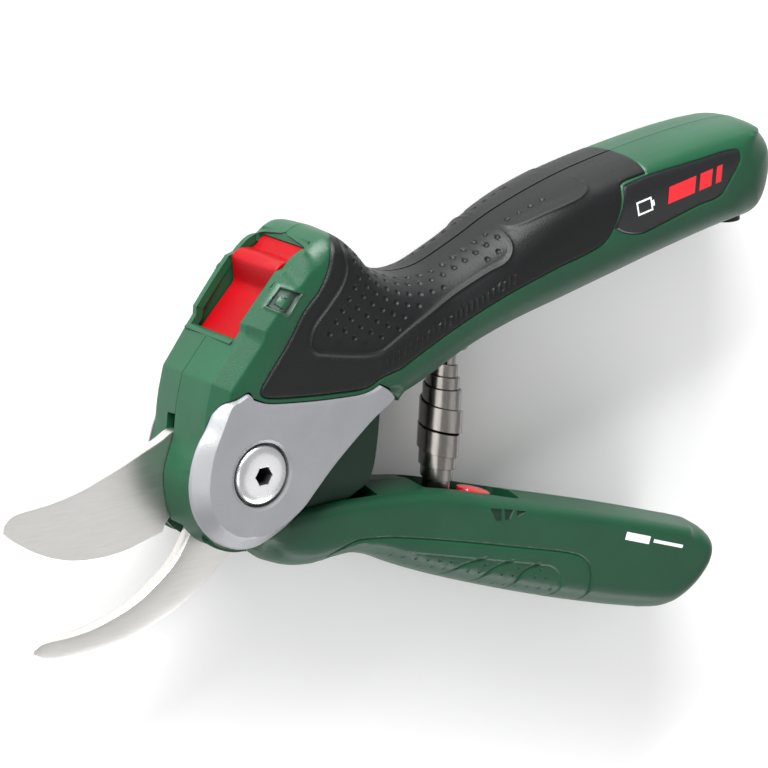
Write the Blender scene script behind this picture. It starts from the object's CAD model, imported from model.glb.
"""Looks of the battery pruner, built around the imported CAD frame.

Shapes are drawn in millimetres around the pivot axis, with z = 0 on the mid-plane of
the tool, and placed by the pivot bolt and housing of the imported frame.
"""

import math

import bpy
import numpy as np
from mathutils import Matrix, Vector
from mathutils.geometry import delaunay_2d_cdt


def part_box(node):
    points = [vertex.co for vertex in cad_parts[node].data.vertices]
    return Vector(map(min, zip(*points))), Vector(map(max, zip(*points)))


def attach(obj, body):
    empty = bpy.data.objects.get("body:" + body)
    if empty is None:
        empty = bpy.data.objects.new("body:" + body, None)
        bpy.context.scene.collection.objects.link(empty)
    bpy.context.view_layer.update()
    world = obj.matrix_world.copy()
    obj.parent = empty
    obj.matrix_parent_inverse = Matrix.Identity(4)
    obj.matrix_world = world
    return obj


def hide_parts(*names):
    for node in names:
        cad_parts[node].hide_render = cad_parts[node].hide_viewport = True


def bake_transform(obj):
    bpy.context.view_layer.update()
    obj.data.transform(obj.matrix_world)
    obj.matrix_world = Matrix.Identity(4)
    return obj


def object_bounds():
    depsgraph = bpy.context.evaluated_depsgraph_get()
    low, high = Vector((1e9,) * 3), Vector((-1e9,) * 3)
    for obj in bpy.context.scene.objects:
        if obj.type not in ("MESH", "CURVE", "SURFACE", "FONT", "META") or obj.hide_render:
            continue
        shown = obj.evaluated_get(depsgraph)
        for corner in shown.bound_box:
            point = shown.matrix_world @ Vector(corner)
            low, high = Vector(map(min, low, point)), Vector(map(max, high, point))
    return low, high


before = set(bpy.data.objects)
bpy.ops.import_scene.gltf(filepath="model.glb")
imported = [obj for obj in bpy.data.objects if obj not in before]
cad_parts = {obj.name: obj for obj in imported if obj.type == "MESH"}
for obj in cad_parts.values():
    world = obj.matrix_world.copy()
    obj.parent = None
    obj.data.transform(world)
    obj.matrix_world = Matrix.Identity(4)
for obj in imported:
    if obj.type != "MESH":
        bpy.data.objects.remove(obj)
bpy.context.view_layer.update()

MM = 0.001
BOLT_LOW, BOLT_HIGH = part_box("pivot_bolt")
HOUSING_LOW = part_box("housing_right")[0]
HOUSING_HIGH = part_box("housing_left")[1]
ORIGIN = Vector((
    (BOLT_LOW.x + BOLT_HIGH.x) / 2,
    (BOLT_LOW.y + BOLT_HIGH.y) / 2,
    (HOUSING_LOW.z + HOUSING_HIGH.z) / 2,
))

SIDES = ((1, "left"), (-1, "right"))
SHELL_WALL, GRIP_WALL, LABEL_WALL = 2.0, 1.6, 0.9
SHARP_DEGREES = 32
TURNED_SEGMENTS = 72

# ---------- plane geometry ----------


def dense(points, step=0.7):
    """Smooth curve through the points, with one point about every step millimetres."""
    p = np.array(points, float)
    ends = np.vstack([2 * p[0] - p[1], p, 2 * p[-1] - p[-2]])
    gaps = np.maximum(np.linalg.norm(np.diff(ends, axis=0), axis=1), 1e-6) ** 0.5
    out = [p[0]]
    for i in range(len(p) - 1):
        a, b, c, d = ends[i:i + 4]
        g0, g1, g2 = gaps[i:i + 3]
        m1 = (c - b) + g1 * ((b - a) / g0 - (c - a) / (g0 + g1))
        m2 = (c - b) + g1 * ((d - c) / g2 - (d - b) / (g1 + g2))
        count = max(1, round(np.linalg.norm(c - b) / step))
        t = (np.arange(1, count + 1) / count)[:, None]
        out.extend(b + t * m1 + t * t * (3 * (c - b) - 2 * m1 - m2)
                   + t ** 3 * (2 * (b - c) + m1 + m2))
    return np.array(out)


def straight(points, step=0.7):
    """Straight pieces between the points, with one point about every step millimetres."""
    p = np.array(points, float)
    out = [p[0]]
    for a, b in zip(p[:-1], p[1:]):
        count = max(1, round(np.linalg.norm(b - a) / step))
        out.extend(a + (b - a) * k / count for k in range(1, count + 1))
    return np.array(out)


def arc(x, y, r, start, end, step=0.7):
    """Circle arc between two angles in degrees."""
    count = max(3, round(abs(math.radians(end - start)) * r / step))
    a = np.radians(np.linspace(start, end, count + 1))
    return np.stack([x + r * np.cos(a), y + r * np.sin(a)], 1)


def joined(*parts):
    """One line from several, leaving out points that fall together."""
    same = 0.04
    points = np.vstack(parts)
    keep = [0]
    for i in range(1, len(points)):
        if np.linalg.norm(points[i] - points[keep[-1]]) > same:
            keep.append(i)
    if np.linalg.norm(points[keep[-1]] - points[0]) < same:
        keep.pop()
    return points[keep]


def nearest(points, line, closed=False):
    """Distance from each point to the line, and the length along the line there."""
    ends = np.vstack([line, line[:1]]) if closed else line
    best = np.full(len(points), 1e9)
    where = np.zeros(len(points))
    run = 0.0
    for a, b in zip(ends[:-1], ends[1:]):
        ab = b - a
        length = float(np.hypot(*ab))
        if length < 1e-9:
            continue
        t = np.clip(((points - a) @ ab) / length ** 2, 0, 1)
        gap = np.hypot(*(points - a - t[:, None] * ab).T)
        closer = gap < best
        best[closer] = gap[closer]
        where[closer] = run + t[closer] * length
        run += length
    return best, where


def inside(points, polygon):
    """Which of the points lie in the polygon."""
    hit = np.zeros(len(points), bool)
    x, y = points.T
    for (x0, y0), (x1, y1) in zip(polygon, np.roll(polygon, -1, axis=0)):
        if y0 == y1:
            continue
        crosses = (y0 > y) != (y1 > y)
        hit ^= crosses & (x < (x1 - x0) * (y - y0) / (y1 - y0) + x0)
    return hit


def area(polygon):
    """Area of the polygon, positive where it runs anticlockwise."""
    x, y = polygon.T
    return float(np.sum(x * np.roll(y, -1) - y * np.roll(x, -1))) / 2


def inner_side(polygon):
    return 1 if area(polygon) > 0 else -1


def anticlockwise(polygon):
    return polygon if area(polygon) > 0 else polygon[::-1]


def normals(line, closed):
    """Unit normals to the left of the line's direction."""
    if closed:
        tangent = np.roll(line, -1, 0) - np.roll(line, 1, 0)
    else:
        tangent = np.gradient(line, axis=0)
    tangent /= np.maximum(np.hypot(*tangent.T), 1e-9)[:, None]
    return np.stack([-tangent[:, 1], tangent[:, 0]], 1)


def offset(line, d, closed):
    """Pieces of the line moved to the left by d, where they stay that far away."""
    moved = line + normals(line, closed) * d
    gap, _ = nearest(moved, line, closed)
    good = gap > abs(d) * 0.97
    pieces, current = [], []
    for point, ok in zip(moved, good):
        if ok:
            current.append(point)
            continue
        if len(current) > 1:
            pieces.append(np.array(current))
        current = []
    if len(current) > 1:
        pieces.append(np.array(current))
    if closed and len(pieces) and good[0] and good[-1]:
        if len(pieces) == 1:
            pieces[0] = np.vstack([pieces[0], pieces[0][:1]])
        else:
            pieces[0] = np.vstack([pieces.pop(), pieces[0]])
    return pieces


def inset(polygon, d):
    """The polygon with every point moved inwards by d."""
    return polygon + normals(polygon, True) * d * inner_side(polygon)


def turned(shape, angle, origin):
    """The shape turned by the angle in radians and moved to the origin."""
    u = np.array([math.cos(angle), math.sin(angle)])
    v = np.array([-u[1], u[0]])
    p = np.array(shape, float)
    return np.array(origin) + p[:, :1] * u + p[:, 1:] * v


def smooth_table(pairs):
    """Monotone smooth function through (distance, height) pairs."""
    x, y = np.array(pairs, float).T
    h, slope = np.diff(x), np.diff(y) / np.diff(x)
    m = np.zeros(len(x))
    product, total = slope[:-1] * slope[1:], slope[:-1] + slope[1:]
    m[1:-1] = np.where(product > 0, 2 * product / np.where(total == 0, 1, total), 0)
    m[0], m[-1] = slope[0], slope[-1] * 0.2

    def at(d):
        d = np.clip(d, x[0], x[-1])
        i = np.clip(np.searchsorted(x, d) - 1, 0, len(h) - 1)
        t = (d - x[i]) / h[i]
        return ((1 + 2 * t) * (1 - t) ** 2 * y[i] + t * (1 - t) ** 2 * h[i] * m[i]
                + t * t * (3 - 2 * t) * y[i + 1] + t * t * (t - 1) * h[i] * m[i + 1])
    return at


def crisp_table(pairs, r=0.14):
    """Straight pieces through (distance, height) pairs, with creases rounded over r."""
    x, y = np.array(pairs, float).T
    taps = (-1, -0.5, 0, 0.5, 1)

    def at(d):
        start = np.minimum(1, d / 0.02 + 0.001)
        return sum(np.interp(d + r * k, x, y) for k in taps) / 5 * start
    return at


def ease(x, a, b):
    """Smooth rise from 0 at a to 1 at b."""
    t = np.clip((x - a) / (b - a), 0, 1)
    return t * t * (3 - 2 * t)


def softer_min(a, b, k):
    """Smaller of the two, blended where they differ by less than k."""
    return np.minimum(a, b) - np.maximum(k - np.abs(a - b), 0) ** 2 / (4 * k)


def grid(polygon, pitch):
    """Triangular grid of points inside the polygon."""
    (x0, y0), (x1, y1) = polygon.min(0), polygon.max(0)
    rows = []
    for i, y in enumerate(np.arange(y0, y1, pitch * 0.866)):
        x = np.arange(x0 + (i % 2) * pitch / 2, x1, pitch)
        rows.append(np.stack([x, np.full_like(x, y)], 1))
    points = np.vstack(rows)
    return points[inside(points, polygon)]


# ---------- meshes ----------


def make_object(name, vertices, faces, materials, indices=None, sharp=SHARP_DEGREES):
    """Mesh from millimetres around the pivot, placed in the row frame."""
    points = np.array(vertices, float) * MM + np.array(ORIGIN)
    mesh = bpy.data.meshes.new(name)
    mesh.from_pydata(points.tolist(), [], [list(map(int, f)) for f in faces])
    mesh.validate()
    for material in materials:
        mesh.materials.append(material)
    if indices is not None:
        mesh.polygons.foreach_set("material_index", np.array(indices, np.int32))
    mesh.shade_smooth()
    mesh.set_sharp_from_angle(angle=math.radians(sharp))
    obj = bpy.data.objects.new(name, mesh)
    bpy.context.scene.collection.objects.link(obj)
    return obj


def triangulate(lines, loops, points):
    """Triangles of the plane that keep every line and loop as edges."""
    vertices, edges = [], []
    for line in lines:
        start = len(vertices)
        vertices.extend(line)
        edges.extend((start + i, start + i + 1) for i in range(len(line) - 1))
    for loop in loops:
        start = len(vertices)
        vertices.extend(loop)
        edges.extend((start + i, start + (i + 1) % len(loop)) for i in range(len(loop)))
    vertices.extend(points)
    result = delaunay_2d_cdt([Vector(map(float, v)) for v in vertices], edges, [], 0, 1e-4, False)
    flat = np.array([tuple(v) for v in result[0]])
    triangles = np.array([f for f in result[2] if len(f) == 3])
    a, b, c = flat[triangles[:, 0]], flat[triangles[:, 1]], flat[triangles[:, 2]]
    turn = (b[:, 0] - a[:, 0]) * (c[:, 1] - a[:, 1]) - (b[:, 1] - a[:, 1]) * (c[:, 0] - a[:, 0])
    triangles[turn < 0] = triangles[turn < 0][:, ::-1]
    return flat, triangles[np.abs(turn) > 1e-7]


def used_only(flat, triangles):
    """Indices of the points that the triangles use, and the triangles counted on them."""
    used = np.unique(triangles)
    index = np.full(len(flat), -1)
    index[used] = np.arange(len(used))
    return used, index[triangles]


def skin(name, flat, heights, triangles, side, materials, thickness, indices=None):
    """Shell of one half: the height surface, made thick inwards."""
    used, faces = used_only(flat, triangles)
    z = heights[used] * side
    if side < 0:
        faces = faces[:, ::-1]
    obj = make_object(name, np.column_stack([flat[used], z]), faces, materials, indices)
    solid = obj.modifiers.new("thickness", "SOLIDIFY")
    solid.thickness = thickness * MM
    solid.offset = -1
    solid.use_even_offset = False
    solid.use_rim = True
    graph = bpy.context.evaluated_depsgraph_get()
    thick = bpy.data.meshes.new_from_object(obj.evaluated_get(graph))
    obj.modifiers.clear()
    obj.data = thick
    thick.set_sharp_from_angle(angle=math.radians(SHARP_DEGREES))
    return obj


def ring_mesh(rings):
    """Closed body through rings of equal length; a ring is (outline, z)."""
    count = len(rings[0][0])
    vertices = np.vstack([np.column_stack([o, np.full(count, z)]) for o, z in rings])
    up = area(rings[0][0]) > 0
    faces = []
    for r in range(len(rings) - 1):
        for i in range(count):
            a, b = r * count + i, r * count + (i + 1) % count
            quad = (a, b, b + count, a + count)
            faces.append(quad if up else quad[::-1])
    for ring, is_top in ((0, False), (len(rings) - 1, True)):
        outline = rings[ring][0]
        flat, triangles = triangulate([], [outline], [])
        centres = flat[triangles].mean(1)
        triangles = triangles[inside(centres, outline)]
        back = [int(np.argmin(np.hypot(*(outline - p).T))) + ring * count for p in flat]
        for t in triangles:
            face = [back[t[0]], back[t[1]], back[t[2]]]
            if len(set(face)) == 3:
                faces.append(face if is_top else face[::-1])
    return vertices, faces


def plate_rings(outline, z0, z1, bevel):
    """Rings of a plate with rounded edges."""
    steps = [(1.0, 0.0), (0.3, 0.3), (0.0, 1.0)]
    low = [(inset(outline, bevel * s), z0 + bevel * t) for s, t in steps]
    high = [(inset(outline, bevel * s), z1 - bevel * t) for s, t in reversed(steps)]
    return low + high


def lathe(profile, x, y, segments=TURNED_SEGMENTS):
    """Turned body about an axis along z; the profile is (radius, z) from end to end."""
    vertices, faces, rings = [], [], []
    angles = np.linspace(0, 2 * np.pi, segments, endpoint=False)
    for r, z in profile:
        if r < 1e-6:
            rings.append([len(vertices)])
            vertices.append((x, y, z))
        else:
            rings.append(list(range(len(vertices), len(vertices) + segments)))
            vertices.extend((x + r * math.cos(a), y + r * math.sin(a), z) for a in angles)
    for low, high in zip(rings[:-1], rings[1:]):
        for i in range(segments):
            j = (i + 1) % segments
            if len(low) == 1:
                faces.append((low[0], high[j], high[i]))
            elif len(high) == 1:
                faces.append((low[i], low[j], high[0]))
            else:
                faces.append((low[i], low[j], high[j], high[i]))
    return vertices, faces


def swept(rows):
    """Closed body through rows of points of equal length, with flat ends."""
    count = len(rows[0])
    vertices = [p for row in rows for p in row]
    faces = []
    for r in range(len(rows) - 1):
        for i in range(count):
            a, b = r * count + i, r * count + (i + 1) % count
            faces.append((a, b, b + count, a + count))
    last = (len(rows) - 1) * count
    faces.append(list(range(count))[::-1])
    faces.append([last + i for i in range(count)])
    return vertices, faces


# ---------- materials ----------


def rgb(r, g, b):
    """Linear colour from 0-255 display values."""
    linear = (((c / 255 + 0.055) / 1.055) ** 2.4 if c > 10 else c / 255 / 12.92 for c in (r, g, b))
    return (*linear, 1.0)


class Nodes:
    """A material and short ways to add nodes to it; all textures use object coordinates."""

    def __init__(self, name):
        self.material = bpy.data.materials.new(name)
        self.material.use_nodes = True
        self.tree = self.material.node_tree
        self.shader = self.tree.nodes["Principled BSDF"]
        coordinates = self.tree.nodes.new("ShaderNodeTexCoord")
        self.place = coordinates.outputs["Object"]

    def add(self, kind, **values):
        node = self.tree.nodes.new(kind)
        for key, value in values.items():
            setattr(node, key, value)
        return node

    def link(self, a, b):
        self.tree.links.new(a, b)

    def stretched(self, scale, turn=0.0):
        mapping = self.add("ShaderNodeMapping")
        mapping.inputs["Scale"].default_value = scale
        mapping.inputs["Rotation"].default_value = (0, 0, turn)
        self.link(self.place, mapping.inputs["Vector"])
        return mapping.outputs["Vector"]

    def noise(self, vector, scale, detail=3.0, rough=0.5):
        node = self.add("ShaderNodeTexNoise")
        node.inputs["Scale"].default_value = scale
        node.inputs["Detail"].default_value = detail
        node.inputs["Roughness"].default_value = rough
        self.link(vector, node.inputs["Vector"])
        return node.outputs["Fac"]

    def ramp(self, value, stops):
        node = self.add("ShaderNodeValToRGB")
        ramp = node.color_ramp
        ramp.elements[0].position, ramp.elements[0].color = stops[0]
        ramp.elements[1].position, ramp.elements[1].color = stops[-1]
        for position, color in stops[1:-1]:
            ramp.elements.new(position).color = color
        self.link(value, node.inputs["Fac"])
        return node.outputs["Color"]

    def range(self, value, low, high):
        node = self.add("ShaderNodeMapRange")
        node.inputs["To Min"].default_value = low
        node.inputs["To Max"].default_value = high
        self.link(value, node.inputs["Value"])
        return node.outputs["Result"]

    def bump(self, height, strength, distance):
        node = self.add("ShaderNodeBump")
        node.inputs["Strength"].default_value = strength
        node.inputs["Distance"].default_value = distance
        self.link(height, node.inputs["Height"])
        self.link(node.outputs["Normal"], self.shader.inputs["Normal"])


def plastic(name, dark, light, rough, grain=0.25, size=0.45, specular=0.45, coat=0.0, metallic=0.0):
    """Moulded plastic: slight tone drift, eroded-mould grain of the given size in mm."""
    n = Nodes(name)
    drift = n.noise(n.place, 38.0, 4.0, 0.6)
    n.link(n.ramp(drift, [(0.3, dark), (0.7, light)]), n.shader.inputs["Base Color"])
    fine = n.noise(n.place, 1.0 / (size * MM), 2.0, 0.55)
    n.link(n.range(fine, rough - 0.07, rough + 0.07), n.shader.inputs["Roughness"])
    n.bump(fine, grain, 0.00016)
    n.shader.inputs["Specular IOR Level"].default_value = specular
    n.shader.inputs["Metallic"].default_value = metallic
    n.shader.inputs["Coat Weight"].default_value = coat
    n.shader.inputs["Coat Roughness"].default_value = 0.12
    return n.material


def metal(name, dark, light, rough, brush=(60, 900, 900), turn=0.0, grain=0.25):
    """Ground or rolled metal, brushed across the longer texture axis."""
    n = Nodes(name)
    lines = n.noise(n.stretched(brush, turn), 1.0, 4.0, 0.65)
    cloud = n.noise(n.place, 55.0, 3.0, 0.6)
    mix = n.add("ShaderNodeMath", operation="MULTIPLY_ADD")
    n.link(lines, mix.inputs[0])
    mix.inputs[1].default_value = 0.7
    shade = n.add("ShaderNodeMath", operation="MULTIPLY")
    n.link(cloud, shade.inputs[0])
    shade.inputs[1].default_value = 0.3
    n.link(shade.outputs[0], mix.inputs[2])
    n.link(n.ramp(mix.outputs[0], [(0.25, dark), (0.75, light)]), n.shader.inputs["Base Color"])
    n.link(n.range(lines, rough - 0.06, rough + 0.08), n.shader.inputs["Roughness"])
    n.bump(lines, grain, 0.00008)
    n.shader.inputs["Metallic"].default_value = 1.0
    return n.material


GREEN = plastic("green_plastic", rgb(6, 58, 35), rgb(10, 66, 41), 0.42, 0.32, 0.32, 0.4)
BLACK = plastic("soft_black", rgb(8, 9, 10), rgb(12, 13, 14), 0.48, 0.5, 0.4, 0.28)
CAST = plastic("cast_cover", rgb(140, 141, 144), rgb(150, 151, 154), 0.4, 0.3, 0.35, 0.5,
               metallic=0.55)
PANEL = plastic("label_panel", rgb(14, 15, 17), rgb(18, 19, 21), 0.3, 0.05, 0.5, 0.4, 0.1)
RED = plastic("red_plastic", rgb(124, 0, 7), rgb(138, 1, 11), 0.42, 0.4, 0.35, 0.14)
MARK_RED = plastic("mark_red", rgb(205, 20, 32), rgb(215, 28, 40), 0.4, 0.05, 0.5)
MARK_WHITE = plastic("mark_white", rgb(225, 225, 225), rgb(235, 235, 235), 0.4, 0.05, 0.5)
SOCKET = plastic("socket_shadow", rgb(14, 14, 15), rgb(20, 20, 21), 0.6, 0.05, 0.4)
ENGRAVED = plastic("engraved_green", rgb(6, 40, 26), rgb(9, 46, 30), 0.5, 0.1, 0.4, 0.3)
DARK = plastic("dark_recess", rgb(22, 40, 32), rgb(28, 48, 38), 0.6, 0.1, 0.4)
BLADE = metal("blade_steel", rgb(205, 203, 200), rgb(220, 218, 215), 0.36, (160, 1800, 1800),
              -0.3, 0.12)
BOLT = metal("bolt_steel", rgb(222, 222, 225), rgb(238, 238, 240), 0.26, (300, 300, 300), 0.0, 0.05)
SPRING = metal("spring_steel", rgb(118, 114, 110), rgb(166, 162, 157), 0.24, (500, 90, 500),
               0.0, 0.15)
LENS = plastic("red_lens", rgb(190, 10, 20), rgb(215, 20, 30), 0.2, 0.02, 0.6, 0.5, 0.6)
SLEEVE = plastic("cell_sleeve", rgb(50, 98, 150), rgb(60, 110, 165), 0.35, 0.05, 0.5)
MOTOR = metal("motor_steel", rgb(150, 150, 152), rgb(185, 185, 188), 0.3, (80, 800, 800))
GEAR = plastic("gear_plastic", rgb(38, 39, 42), rgb(50, 51, 54), 0.5, 0.15, 0.5)
BRASS = metal("nut_brass", rgb(170, 130, 60), rgb(200, 160, 85), 0.28, (300, 300, 300))
BOARD = plastic("board", rgb(18, 80, 45), rgb(28, 96, 56), 0.4, 0.1, 0.8)

FINISHES = {
    GREEN: ["housing_left", "housing_right", "handle_left", "handle_right"],
    BLACK: ["grip_left", "grip_right", "port_cover"],
    CAST: ["cover_plate_left", "cover_plate_right"],
    PANEL: ["label_left", "label_right"],
    BLADE: ["counter_blade", "cutting_blade", "push_link"],
    BOLT: ["pivot_bolt", "pivot_nut", "collar_left", "collar_right", "drive_pin", "link_pin",
           "spindle", *[f"body_screw_{i}" for i in range(1, 7)], "hook_screw_1", "hook_screw_2",
           *[f"handle_screw_{i}" for i in range(1, 5)]],
    RED: ["lock_slider"],
    SPRING: ["return_spring", "detent_spring", "lock_bar", "upper_spring_seat",
             "lower_spring_seat"],
    SLEEVE: ["battery_cell"],
    MOTOR: ["motor"],
    GEAR: ["gearbox", "charge_socket", "sense_switch"],
    BRASS: ["spindle_nut"],
    BOARD: ["circuit_board"],
    LENS: ["status_lens"],
}


def dress_frame():
    """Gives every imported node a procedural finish."""
    for material, nodes in FINISHES.items():
        for node in nodes:
            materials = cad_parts[node].data.materials
            materials.clear()
            materials.append(material)


dress_frame()

# ---------- upper body: outlines ----------

SLIDE_ORIGIN = np.array([-12.3, 25.0])
SLIDE_ANGLE = math.radians(47.6)
SEAM = 0.1
BOSS_HEIGHT = 12.6
WINDOW_HALF = 10.0
WINDOW_CORNER = 1.6
WINDOW_START = 11.2
WINDOW_END = 42.5
WINDOW_PEAK = 44.0
METAL_SLOT_HALF = 4.6
PIVOT_HOLE_R = 4.3
RIGHT_SHARE = 0.78
# The holes in the underside of the upper handle, each as (x, radius).
SPRING_HOLE = (70.2, 7.2)
PORT_HOLE = (167.7, 4.3)


def slide(points):
    """Points given along and out of the slider's line."""
    p = np.array(points, float)
    c, s = math.cos(SLIDE_ANGLE), math.sin(SLIDE_ANGLE)
    return SLIDE_ORIGIN + p @ np.array([[c, s], [-s, c]])


NOSE = dense([(-17.9, 2.0), (-16.9, 5.0), (-15.9, 7.6), (-15.3, 10.6), (-14.9, 14.2),
    (-14.3, 18.3), (-13.4, 21.9), (-12.6, 25.0)], 0.4)
FRONT = joined(
    straight([(-12.6, 25.0), *slide([(12.0, 0.5), (15, 0.5)])], 0.5),
    straight(slide([(15, 0.5), (16.6, 1.8), (32.6, 1.8), (34.6, 0.5)]), 0.35),
    dense([*slide([(34.6, 0.5), (37, 0.3), (39, -0.1)]), (17.4, 55.2)], 0.4),
)
TOP = dense([(17.4, 55.2), (19.8, 56.9), (23.2, 58.0), (27.4, 56.9), (33.4, 52.4), (40.2, 46.2),
    (47.4, 42.7), (53, 41.6), (60, 42.2), (72, 46.9), (85, 52.9), (105, 59.5), (125.5, 63.9),
    (146.4, 67.1), (160.4, 68.3), (167.4, 68.1), (172.4, 65.8)])
END = dense([(172.4, 65.8), (175.4, 62.0), (176.5, 57.2), (176.1, 51.6), (174.4, 46.2),
    (171.2, 42.1), (167.0, 40.2)], 0.6)
BOTTOM = dense([(167.0, 40.2), (154.9, 38.2), (137.1, 34.5), (119.5, 30.4), (102.3, 26.4),
    (85.3, 22.4), (70, 17.5), (56, 11.2), (50, 8.9)], 0.6)
WING = joined(
    dense([(50, 8.9), (46.4, 9.4), (42.8, 11.6), (36, 8.9), (29, 3.8), (20.8, -2.2), (17.2, -4.9)]),
    arc(0, 0, 17.9, -16, -84),
    dense([(0, -21.3), (-4.5, -21.0), (-8.4, -19.9), (-11.3, -18.3), (-14.2, -15.7),
        (-16.0, -13.3), (-17.3, -9.8), (-18.1, -5.5), (-18.4, -0.9), (-17.9, 2.0)], 0.5),
)
BODY_LINE = joined(NOSE, FRONT, TOP, END, BOTTOM, WING)[::-1]

PLATE_OUTER = joined(
    dense([(-6.9, 20.9), (-10.0, 20.0), (-12.2, 17.6), (-14.4, 13.6), (-16.7, 10.2), (-18.4, 6.2),
        (-19.4, 2.0), (-19.6, -2.0), (-18.7, -6.9), (-16.5, -11.3), (-13.1, -15.3), (-9.0, -18.0),
        (-4.4, -19.6), (0.4, -19.7), (5.9, -17.8), (10.6, -15.2), (14.2, -12.2), (18.0, -8.0),
        (23.0, -2.9), (29.4, 2.8), (36.2, 8.2), (42.2, 12.0)], 0.6),
    dense([(42.2, 12.0), (42.6, 12.8), (42.2, 14.0), (40.6, 15.6), (37.2, 17.5)], 0.5),
    dense([(37.2, 17.5), (34.8, 16.5), (31.8, 15.9), (23.8, 16.1), (11.4, 17.1), (2.2, 18.4),
        (-2.0, 20.2)], 0.6),
    dense([(-2.0, 20.2), (-3.3, 22.0), (-6.9, 20.9)], 0.5),
)
PLATE_INNER = joined(
    dense([(-6.8, 20.0), (-8.8, 19.4), (-10.4, 16.6), (-12.2, 12.8), (-13.8, 9.4), (-15.0, 5.6),
        (-15.7, 1.6), (-15.8, -2.2), (-14.9, -6.4), (-13.0, -10.0), (-10.2, -12.8), (-6.9, -14.8),
        (-3.2, -15.7), (0.6, -15.9), (4.8, -14.9), (9.2, -13.0), (12.9, -10.6), (16.7, -6.8),
        (21.9, -1.6), (28.4, 4.0), (35.4, 9.4), (40.8, 12.6)], 0.7),
    dense([(40.8, 12.6), (41.2, 13.2), (39.9, 15.0), (37.2, 16.9)], 0.6),
    dense([(37.2, 16.9), (34.9, 15.9), (31.8, 15.4), (23.7, 15.6), (11.3, 16.6), (2.0, 17.9),
        (-2.4, 19.6)], 0.7),
    dense([(-2.4, 19.6), (-3.5, 21.2), (-6.8, 20.0)], 0.5),
)
GRIP_LINE = joined(
    dense([(33.5, 58.0), (31.2, 54.4), (28.2, 56.2), (26.0, 56.9), (24.2, 56.4), (22.7, 53.6),
        (21.2, 49.3), (18.2, 44.6), (13.6, 40.0), (9.0, 33.0), (4.4, 27.2), (0.9, 22.8)], 0.5),
    dense([(0.9, 22.8), (0.3, 21.2), (0.9, 20.0), (2.6, 19.3), (11.4, 18.1), (23.8, 17.1),
        (31.8, 16.8), (34.9, 17.4), (37.4, 18.6), (44.3, 20.2)], 0.5),
    dense([(44.3, 20.2), (60.3, 27.6), (76.6, 33.8), (93.2, 38.8), (110.0, 43.4), (113.4, 46.6),
        (116.2, 52.0), (117.4, 58.0)], 0.6),
    dense([(117.4, 58.0), (118.6, 58.6), (126.2, 60.0)], 0.5),
    dense([(126.2, 60.0), (125.7, 63.0), (124.4, 66.0), (121.0, 72.0)], 0.5),
    [(121.0, 76.0), (34.0, 76.0)],
)
LABEL_LINE = joined(
    dense([(114.4, 47.1), (117.0, 51.9), (118.4, 57.7)], 0.5),
    dense([(118.4, 57.7), (126.0, 59.3), (143.8, 61.4), (155.2, 62.6), (158.2, 62.2),
        (158.4, 59.8), (154.8, 54.8), (152.0, 51.2)], 0.5),
    dense([(152.0, 51.2), (149.0, 50.2), (144.3, 49.5), (130.3, 45.9), (123.8, 44.4),
        (118.2, 45.2), (114.4, 47.1)], 0.5),
)
RIDGE_LINE = dense([(26.9, 58.0), (26.9, 52.5), (26.9, 49.2), (25.1, 45.0), (20.5, 39.8),
    (16.8, 36.0), (15.6, 33.5), (15.4, 31.0), (16.8, 29.2), (22.1, 27.8), (29.9, 26.3),
    (34.7, 25.8), (37.8, 26.1), (41.0, 27.7), (47.4, 31.1), (53.7, 33.6), (63.4, 37.4),
    (73.2, 41.2), (78.1, 42.9), (80.4, 44.7), (81.6, 47.2), (80.9, 51.3), (78.4, 55.6)], 0.6)
PATCH_LINE = dense([(77.5, 54.0), (81.6, 52.0), (83.4, 51.0), (94.0, 53.8), (105.5, 57.2),
    (107.9, 58.8), (107.6, 62.0)], 0.6)
ICON = np.array([(7.9, 46.6), (12.7, 44.8), (8.6, 39.9), (3.8, 42.4)])

PROFILE_FRONT = crisp_table([(0, 0), (0.6, 11.9), (4.8, 15.3), (9, 16.1), (20, 16.2)])
PROFILE_HUMP = smooth_table([(0, 0), (0.4, 8), (1.2, 11.4), (4.2, 14.6), (9, 15.9), (14, 16.4)])
PROFILE_TOP = smooth_table([(0, 0), (0.45, 5), (1.8, 9), (4.6, 12.8), (8.6, 15.3), (14, 16.6),
    (20, 17.2)])
PROFILE_FAR_TOP = smooth_table([(0, 0), (0.4, 6), (1.4, 10.6), (3.4, 13.8), (8, 15.8), (14, 16.8),
    (20, 17.3)])
PROFILE_END = smooth_table([(0, 0), (0.4, 4.5), (1.8, 8.4), (4.2, 11.4), (8, 13.8), (13, 15.6),
    (20, 17), (26, 17.6)])
PROFILE_BOTTOM = crisp_table([(0, 0), (0.7, 4.2), (2.0, 8.2), (4.2, 12.2), (6.4, 14.4),
    (9.0, 15.6), (13, 16.6), (22, 17.2)], 0.3)
PROFILE_WING = crisp_table([(0, 0), (0.1, 4), (1.0, 12.9), (1.7, 13.0), (3.4, 14.8), (6, 17.6),
    (20, 18)], 0.1)


def half_width(x):
    """Greatest half thickness of the body along its length."""
    stations = [-25, 46, 60, 74, 85, 98, 112, 126, 140, 154, 164, 178]
    widths = [16.0, 16.0, 16.2, 16.4, 16.7, 16.8, 16.8, 16.7, 16.4, 15.9, 15.4, 14.6]
    return np.interp(x, stations, widths)


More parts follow.
